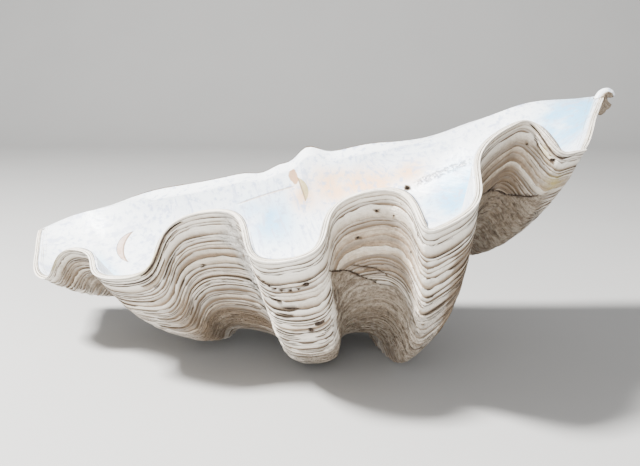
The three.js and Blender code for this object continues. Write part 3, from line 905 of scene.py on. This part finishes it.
# %% Flow and Finish
class Flow:
    """An output socket with arithmetic. Numbers go through Math nodes, vectors through Vector Math."""

    def __init__(self, finish, socket):
        self.finish, self.socket = finish, socket

    def _maths(self, operation, first, second):
        if "VECTOR" in (getattr(getattr(x, "socket", None), "type", None) for x in (first, second)):
            return self.finish.node("ShaderNodeVectorMath", {"operation": operation}, {0: first, 1: second})
        return self.finish.node("ShaderNodeMath", {"operation": operation}, {0: first, 1: second})

    def __add__(self, other):
        return self._maths("ADD", self, other)

    __radd__ = __add__

    def __sub__(self, other):
        return self._maths("SUBTRACT", self, other)

    def __rsub__(self, other):
        return self._maths("SUBTRACT", other, self)

    def __mul__(self, other):
        return self._maths("MULTIPLY", self, other)

    __rmul__ = __mul__

    def __pow__(self, other):
        return self._maths("POWER", self, other)

    def __abs__(self):
        return self._maths("ABSOLUTE", self, 0.0)

    def clamped(self):
        """No less than 0 and no more than 1."""
        return self.finish.node("ShaderNodeClamp", {}, {"Value": self})

    def between(self, low, high):
        """0 below low, 1 above high, with soft ends."""
        sockets = {"Value": self, "From Min": low, "From Max": high}
        return self.finish.node("ShaderNodeMapRange", {"interpolation_type": "SMOOTHSTEP"}, sockets)


class Finish:
    """A material made of nodes."""

    def __init__(self, name):
        self.material = bpy.data.materials.new(name)
        self.material.use_nodes = True
        self.tree = self.material.node_tree
        self.tree.nodes.clear()

    def node(self, kind, settings, sockets, output=0):
        """Any node: its settings first, then the values or links of its sockets."""
        made = self.tree.nodes.new(kind)
        for key, value in settings.items():
            if key == "stops":
                for extra in range(len(value) - 2):
                    made.color_ramp.elements.new(0.5)
                for element, (position, colour) in zip(made.color_ramp.elements, value):
                    element.position, element.color = position, (*colour, 1)
            else:
                setattr(made, key, value)
        for key, value in sockets.items():
            socket = made.inputs[key]
            if isinstance(value, Flow):
                self.tree.links.new(value.socket, socket)
            else:
                socket.default_value = (*value, 1) if socket.type == "RGBA" else value
        return Flow(self, made.outputs[output])

    def fact(self, name):
        """What the corners know under this name."""
        return self.node("ShaderNodeAttribute", {"attribute_name": name}, {}, "Fac")

    def place(self):
        return self.node("ShaderNodeTexCoord", {}, {}, "Object")

    def noise(self, vector, scale, detail=3.0, roughness=0.55):
        sockets = {"Vector": vector, "Scale": scale, "Detail": detail, "Roughness": roughness}
        return self.node("ShaderNodeTexNoise", {}, sockets, "Fac")

    def grain_of(self, x, y, z=0.0):
        """Coordinates for a noise that is stretched along the growth lines."""
        return self.node("ShaderNodeCombineXYZ", {}, {"X": x, "Y": y, "Z": z})

    def mix(self, factor, a, b):
        return self.node("ShaderNodeMix", {"data_type": "RGBA"}, {0: factor, 6: a, 7: b}, 2)

    def distance(self, place, centre):
        sockets = {0: place, 1: centre.tolist()}
        return self.node("ShaderNodeVectorMath", {"operation": "DISTANCE"}, sockets, "Value")

    def line_through(self, place, marks, half_width):
        """1 where a ball through three marks meets the surface, 0 beside it and past its ends."""
        centre, radius = ball_through(*marks)
        middle = (marks[0] + marks[2]) / 2
        half_length = float(np.linalg.norm(marks[0] - marks[2])) / 2
        off_line = abs(self.distance(place, centre) - radius)
        past_end = self.distance(place, middle)
        on_line = off_line.between(half_width, half_width * 0.3)
        return on_line * past_end.between(half_length, half_length * 0.7)

    def crescent(self, place, marks, share):
        """1 between a line through three marks and a flatter one, and 1 along the flatter line."""
        centre, radius = ball_through(*marks)
        chord = marks[2] - marks[0]
        foot = marks[0] + chord * ((marks[1] - marks[0]) @ chord) / (chord @ chord)
        flatter = marks[1] + (foot - marks[1]) * share
        flatter_centre, flatter_radius = ball_through(marks[0], flatter, marks[2])
        within = (self.distance(place, centre) - radius).between(0.0002, -0.0002)
        beyond = self.distance(place, flatter_centre) - flatter_radius
        rim = abs(beyond - 0.0004).between(0.0008, 0.0003)
        return within * beyond.between(-0.0002, 0.0002), within * rim

    def ramp(self, factor, stops):
        return self.node("ShaderNodeValToRGB", {"stops": stops}, {"Fac": factor})

    def bump(self, height, distance, strength=1.0):
        sockets = {"Height": height, "Distance": distance, "Strength": strength}
        return self.node("ShaderNodeBump", {}, sockets)

    def surface(self, **sockets):
        """The finished material; a socket is named with _ for each space."""
        sockets = {key.replace("_", " "): value for key, value in sockets.items()}
        shader = self.node("ShaderNodeBsdfPrincipled", {}, sockets)
        output = self.tree.nodes.new("ShaderNodeOutputMaterial")
        self.tree.links.new(shader.socket, output.inputs["Surface"])
        return self.material


# %% [markdown]
# ## Chalk outside, porcelain inside
#
# Old giant clam shell is chalky and matt outside, cream to taupe in bands that follow the growth. Painted
# shade darkens the gaps under the free edges, the troughs of the layers, the hollows and the underside, and
# a painted highlight whitens each layer's crest. The inside is dense white porcelain, with painted blue
# skylight in the tongues and a warm apricot tint below the hinge. The two pass into each other across the
# lip, so they are one finish, mixed by the corners' own facts. Growth lines too fine for the mesh are a
# bump. Thin marks on the inside, such as the hinge line, the row of pits where a muscle held on, a crescent
# scar and a leaf of stain, lie where a ball through three places meets the surface.

# %% Colours of the outside
CHALK, CREAM, TAUPE = (0.76, 0.695, 0.59), (0.6, 0.495, 0.375), (0.33, 0.245, 0.165)
# On the next line: the near-black painted shade of the gaps, and the tan painted shade of the layers'
# troughs.
DARK_UMBER, GAP_SHADE, TROUGH_SHADE_TAN = (0.15, 0.105, 0.068), (0.04, 0.026, 0.016), (0.28, 0.2, 0.13)
# The white chalk is the real colour of the chalky spots and also the painted highlight of the crests.
WHITE_CHALK, CRUST_WHITE = (0.93, 0.885, 0.8), (0.93, 0.9, 0.84)
# The old brown on this line is the tint of the painted shade.
DARK_DIRT, PALE_DIRT, SHADE_BROWN = (0.18, 0.136, 0.096), (0.52, 0.445, 0.355), (0.25, 0.18, 0.115)
OLIVE_STAIN = (0.42, 0.34, 0.1)
BANDS = [(0.25, DARK_UMBER), (0.36, TAUPE), (0.475, CREAM), (0.6, CHALK)]

# %% Colours of the inside
# The sky blue on the next line is painted skylight.
PORCELAIN, SKY_LIGHT_BLUE, PEACH = (0.86, 0.895, 0.92), (0.24, 0.58, 0.87), (0.95, 0.58, 0.32)
COOL_CLOUD, COOL_STREAK, PIT_GREY = (0.4, 0.46, 0.61), (0.48, 0.52, 0.66), (0.42, 0.4, 0.43)
STAINED, DARK_STAIN, LEAF_OCHRE = (0.5, 0.3, 0.19), (0.2, 0.12, 0.07), (0.45, 0.35, 0.15)
RUST_BROWN = (0.42, 0.19, 0.04)
RIM_LINES = [(8.9, 0.6), (10.3, 0.75), (12.2, 0.5)]  # growth past the edge, and how strong


# %% Thin marks on the inside
def marked_places(stations, t):
    """Places on the inside, in metres of the shared frame."""
    return stand(places(inside, stations, t)[0])


def ball_through(first, middle, last):
    """The centre and radius of the circle through three places."""
    a, b = first - last, middle - last
    cross = np.cross(a, b)
    centre = last + np.cross((a @ a) * b - (b @ b) * a, cross) / (2 * cross @ cross)
    return centre, float(np.linalg.norm(first - centre))


SCAR = marked_places((0.95, 1.18, 1.8), (0.522, 0.665, 0.662))
LEAF = marked_places((7.08, 7.42, 7.12), (0.04, 0.095, 0.145))
HINGE_LINE = marked_places((7.0, 5.9, 4.6), (0.072, 0.061, 0.105))
MUSCLE_LINE = marked_places((11.1, 11.5, 11.84), (0.45, 0.53, 0.67))


# %% The shell's finish
def shell_finish():
    """The colours, the gloss and the finest relief of the whole valve."""
    shell = Finish("shell")
    fact, mix = shell.fact, shell.mix
    growth, length_along, spot_at = fact("growth"), fact("along"), shell.place()
    blotch = shell.noise(spot_at, 55, 4)
    mottle = shell.noise(spot_at, 230, 4, 0.6)
    speck = shell.noise(spot_at, 900, 3, 0.6)
    broad_lines = shell.noise(shell.grain_of(growth * 0.16, length_along * 0.012, blotch * 0.6), 1, 3)
    fine_lines = shell.noise(shell.grain_of(growth * 0.62, length_along * 0.02, blotch * 1.2), 1, 3, 0.6)
    hair_lines = shell.noise(shell.grain_of(growth * 1.9, length_along * 0.035, blotch * 2.5), 1, 2, 0.6)
    crumbs = shell.noise(spot_at, 430, 3, 0.6)

    # outside
    banding = broad_lines * 0.55 + fine_lines * 0.24 + fact("tone") * 0.62 + mottle * 0.2 + blotch * 0.34
    # The older part of the growth darkens the bands towards the underside and the beak: painted shade.
    banding = banding + crumbs * 0.3 - 0.62 - fact("older") * 1.5
    # The painted shade darkens the bands too.
    banding = banding - fact("rough") * 0.16 - fact("umber") * 0.17 + fact("chalk") * 0.14
    outer = shell.ramp(banding, BANDS)
    outer = mix(fact("chalk") * blotch.between(0.34, 0.56) * 0.65, outer, WHITE_CHALK)
    # Painted shade in the layers' troughs.
    outer = mix((fact("trough") * (0.5 + mottle * 1.1)).clamped() * 0.9, outer, TROUGH_SHADE_TAN)
    # Painted highlight on the crests: kept near the lip, and taken away towards the underside, in the dirt
    # and in the painted shade.
    crest_highlight_kept = (1 - fact("rough") * 0.6 - fact("umber") * 0.6 - fact("older") * 1.6).clamped()
    outer = mix((fact("crest") * (0.45 + mottle)).clamped() * crest_highlight_kept, outer, WHITE_CHALK)
    # Painted shade in the gaps, in the lip's grooves and in the crust's hollows: taupe first, then near
    # black.
    outer = mix(fact("gap").between(0.03, 0.5) * (0.4 + mottle * 0.8), outer, TAUPE)
    outer = mix(((fact("gap") ** 1.1) * (0.45 + mottle * 1.3)).clamped() * 0.97, outer, GAP_SHADE)
    outer = mix(hair_lines.between(0.36, 0.26) * 0.2, outer, TAUPE)
    outer = mix(speck.between(0.66, 0.74) * 0.35, outer, DARK_UMBER)
    outer = mix(fact("crust") * 0.9 * (1 - fact("gap")), outer, CRUST_WHITE)
    outer = mix(fact("crust") * crumbs.between(0.58, 0.68) * 0.7, outer, TAUPE)
    dirt_grain = fine_lines * 0.3 + mottle * 0.35 + crumbs * 0.35
    dirt = mix(dirt_grain.between(0.4, 0.6), DARK_DIRT, PALE_DIRT)
    outer = mix(fact("rough") * (0.7 + blotch * 0.6).clamped() * 0.95, outer, dirt)
    # Painted shade, tinted brown.
    outer = mix(fact("umber") * mottle.between(0.35, 0.65) * 0.7, outer, SHADE_BROWN)
    outer = mix(fact("olive") * mottle.between(0.3, 0.55) * 0.75, outer, OLIVE_STAIN)

    # inside
    veil = shell.noise(spot_at, 34, 3)
    # Painted blue skylight.
    inner = mix(fact("blue") * veil.between(0.25, 0.55), PORCELAIN, SKY_LIGHT_BLUE)
    inner = mix(fact("apricot") * veil.between(0.22, 0.52) * 0.95, inner, PEACH)
    inner = mix(mottle.between(0.5, 0.68) * (0.25 + veil), inner, COOL_CLOUD)
    streaks = shell.noise(shell.grain_of(growth * 0.05, length_along * 0.09, blotch), 1, 4, 0.6)
    inner = mix(streaks.between(0.52, 0.68) * (0.4 + veil * 0.7), inner, COOL_STREAK)
    scar, scar_rim = shell.crescent(spot_at, SCAR, 0.5)
    inner = mix((scar * (0.4 + mottle * 0.7)).clamped(), inner, STAINED)
    inner = mix(scar_rim * 0.8, inner, DARK_STAIN)
    leaf, leaf_rim = shell.crescent(spot_at, LEAF, 0.97)
    inner = mix((leaf * (0.5 + mottle * 0.9)).clamped(), inner, LEAF_OCHRE)
    inner = mix(leaf_rim * 0.7, inner, DARK_STAIN)
    hinge_line = shell.line_through(spot_at, HINGE_LINE, 0.0009)
    inner = mix(hinge_line * (0.2 + mottle * 0.8), inner, STAINED)
    muscle_line = shell.line_through(spot_at + (mottle - 0.5) * 0.004, MUSCLE_LINE, 0.0032)
    pits = muscle_line * crumbs.between(0.46, 0.58)
    inner = mix(pits * 0.75, inner, PIT_GREY)
    inner = mix((fact("rust") * (0.6 + mottle)).between(0.3, 0.55) * 0.85, inner, RUST_BROWN)
    wavering = growth + (blotch - 0.5) * 1.6
    for behind, strength in RIM_LINES:
        comes_and_goes = shell.noise(shell.grain_of(behind, length_along * 0.03, 0.5), 1, 2)
        shown = comes_and_goes.between(0.4, 0.56) * strength
        inner = mix(abs(wavering + behind).between(0.34, 0.12) * shown, inner, TAUPE)

    # both, mixed across the lip
    edge = (fact("porcelain") + (mottle - 0.5) * 0.5 * (1 - fact("porcelain"))).between(0.25, 0.75)
    colour = mix(edge, outer, inner)
    roughness = 0.86 - edge * (0.46 + blotch * 0.12)
    scuffed = 0.65 + fact("rough") * 1.3 + fact("crust") * 2.6
    chalk_height = fine_lines * 0.45 + hair_lines * 0.3 + (speck * 0.5 + mottle) * scuffed
    inner_height = mottle * 0.12 + blotch * 0.3 + streaks * 0.12
    inner_height = inner_height - (scar * 0.5 + hinge_line * 0.35 + pits * 0.4)
    height = chalk_height * (1 - edge) + inner_height * edge
    return shell.surface(
        Base_Color=colour, Roughness=roughness, Normal=shell.bump(height, 0.0026, 0.9),
        Specular_IOR_Level=0.42,
    )


# %% The finish of the holes' walls
# The walls of the holes, splits and slots are painted near black: painted shade on top of the real shadows
# that the holes cast.
HOLE_BROWN, HOLE_DARK = (0.12, 0.085, 0.06), (0.04, 0.028, 0.02)


def hole_finish():
    hole = Finish("bored shell")
    mottle = hole.noise(hole.place(), 700, 3)
    colour = hole.mix(mottle.between(0.35, 0.65), HOLE_BROWN, HOLE_DARK)
    return hole.surface(Base_Color=colour, Roughness=0.95, Normal=hole.bump(mottle, 0.0004))


# %% Put the finishes on
def smooth(piece):
    piece.data.polygons.foreach_set("use_smooth", [True] * len(piece.data.polygons))


valve.data.materials[SKIN] = shell_finish()
valve.data.materials[DARK_BORE] = hole_finish()
smooth(valve)
valve.data.set_sharp_from_angle(angle=math.radians(50))
print("finishes:", valve.data.materials[SKIN].name, "and", valve.data.materials[DARK_BORE].name)

# %% [markdown]
# ## Into the frame
#
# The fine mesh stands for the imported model's plain solid, takes its finish from the shell slot and moves
# with the one body there is.

# %% Stand for the solid
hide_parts("valve")
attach(valve, "root")
print("clam_valve stands for the solid")

# %% [markdown]
# ## Floor, light and camera
#
# Chalk shows its relief only in raking light. One lamp high on the left does that work, small enough to
# draw each layer's shadow. A broad weak one in front and the pale room fill the shadows. The camera
# stands low in front of the wavy edge.

# %% The stage
FLOOR_GREY, FLOOR_PALE = (0.37, 0.37, 0.365), (0.4, 0.398, 0.39)


def stage_floor():
    """A floor that bends up into a wall behind."""
    size, back, bend = 3.2, 1.5, 0.5
    path = [(-1.6, 0.0)] + [
        (back + bend * math.sin(a), bend * (1 - math.cos(a))) for a in np.linspace(0, math.pi / 2, 9)
    ] + [(back + bend, 2.4)]
    points = np.array([(x, y, z) for x in (-size, size) for y, z in path])
    n = len(path)
    floor = mesh_piece("floor", points, [[i, n + i, n + i + 1, i + 1] for i in range(n - 1)])
    smooth(floor)
    pale = Finish("pale floor")
    colour = pale.mix(pale.noise(pale.place(), 6, 2), FLOOR_GREY, FLOOR_PALE)
    floor.data.materials.append(pale.surface(Base_Color=colour, Roughness=0.8))
    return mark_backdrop(floor)


def soft_lamp(name, place, size, power, colour):
    """A square lamp that looks at the middle of the valve."""
    lamp = bpy.data.lights.new(name, "AREA")
    lamp.energy, lamp.size, lamp.color = power, size, colour
    lamp_stand = bpy.data.objects.new(name, lamp)
    lamp_stand.location = place
    lamp_stand.rotation_euler = (LIT_PLACE - Vector(place)).to_track_quat("-Z", "Y").to_euler()
    bpy.context.scene.collection.objects.link(lamp_stand)


LIT_PLACE = Vector((0, 0, 0.08))
SUNNY, WHITE, ROOM_WHITE, ROOM_LIGHT = (1, 0.985, 0.96), (1, 1, 1), (0.98, 0.98, 1, 1), 0.7
stage_floor()
soft_lamp("key lamp", (-0.8, -0.3, 1.2), 0.25, 130, SUNNY)
soft_lamp("front fill", (-0.15, -1.3, 0.45), 1.0, 20, WHITE)

world = bpy.data.worlds.new("pale room")
world.use_nodes = True
background = world.node_tree.nodes["Background"]
background.inputs["Color"].default_value = ROOM_WHITE
background.inputs["Strength"].default_value = ROOM_LIGHT
bpy.context.scene.world = world
print("two lamps and a pale room")

# %% The camera
LENS, SENSOR = 50.6, 36  # millimetres
LOOKS_DOWN = 10.88  # degrees
FROM_SEAT = (0.011, -0.6616, 0.071)  # metres from the valve's own origin
camera = bpy.data.cameras.new("camera")
camera.lens, camera.sensor_width = LENS, SENSOR
camera_stand = bpy.data.objects.new("camera", camera)
camera_stand.location = Vector((SEAT / 1000 + FROM_SEAT).tolist())
camera_stand.rotation_euler = (math.radians(90 - LOOKS_DOWN), 0, 0)
bpy.context.scene.collection.objects.link(camera_stand)
bpy.context.scene.camera = camera_stand
print("camera at", [round(x, 4) for x in camera_stand.location])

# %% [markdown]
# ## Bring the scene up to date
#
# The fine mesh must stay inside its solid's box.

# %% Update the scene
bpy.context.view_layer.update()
